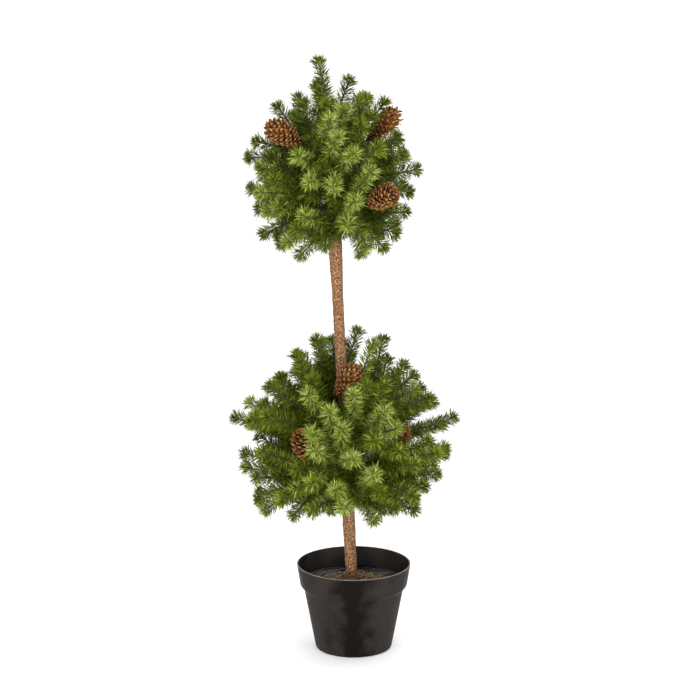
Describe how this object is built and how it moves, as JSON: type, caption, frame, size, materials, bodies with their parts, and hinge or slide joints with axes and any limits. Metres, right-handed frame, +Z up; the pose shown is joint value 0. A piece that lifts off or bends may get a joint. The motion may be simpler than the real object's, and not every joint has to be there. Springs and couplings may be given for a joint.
{
  "type": "artificial double ball pine topiary in pot",
  "caption": "Artificial pine topiary with two balls of needle sprays and brown cones on a leaning bark trunk, in a black plastic pot.",
  "frame": {"origin": "centre of the pot's flat underside", "axes": "+Z up, -Y towards the front that the picture shows, +X to the right in that view"},
  "size_m": [0.3538, 0.3362, 0.9136],
  "materials": {
    "pot": "dark charcoal moulded plastic, satin with faint scuffs",
    "fill": "cast plug under loose brown coir granules",
    "trunk": "tan granular bark coating, matt",
    "needles": "green soft plastic needles, slight sheen",
    "cones": "dry brown cone scales, matt"
  },
  "bodies": {
    "root": {"pot": "pot", "fill": "fill", "trunk": "trunk", "lower_mass_1": "needles", "lower_mass_2": "needles", "lower_mass_3": "needles", "lower_mass_4": "needles", "lower_mass_5": "needles", "lower_mass_6": "needles", "lower_mass_7": "needles", "lower_mass_8": "needles", "lower_mass_9": "needles", "lower_mass_10": "needles", "lower_mass_11": "needles", "lower_mass_12": "needles", "lower_mass_13": "needles", "lower_mass_14": "needles", "lower_mass_15": "needles", "lower_mass_16": "needles", "lower_cone_1": "cones", "lower_cone_2": "cones", "lower_cone_3": "cones", "lower_cone_4": "cones", "lower_cone_5": "cones", "lower_cone_6": "cones", "upper_mass_1": "needles", "upper_mass_2": "needles", "upper_mass_3": "needles", "upper_mass_4": "needles", "upper_mass_5": "needles", "upper_mass_6": "needles", "upper_mass_7": "needles", "upper_mass_8": "needles", "upper_mass_9": "needles", "upper_mass_10": "needles", "upper_mass_11": "needles", "upper_mass_12": "needles", "upper_crown": "needles", "upper_cone_1": "cones", "upper_cone_2": "cones", "upper_cone_3": "cones", "upper_cone_4": "cones", "upper_cone_5": "cones"}
  },
  "joints": []
}
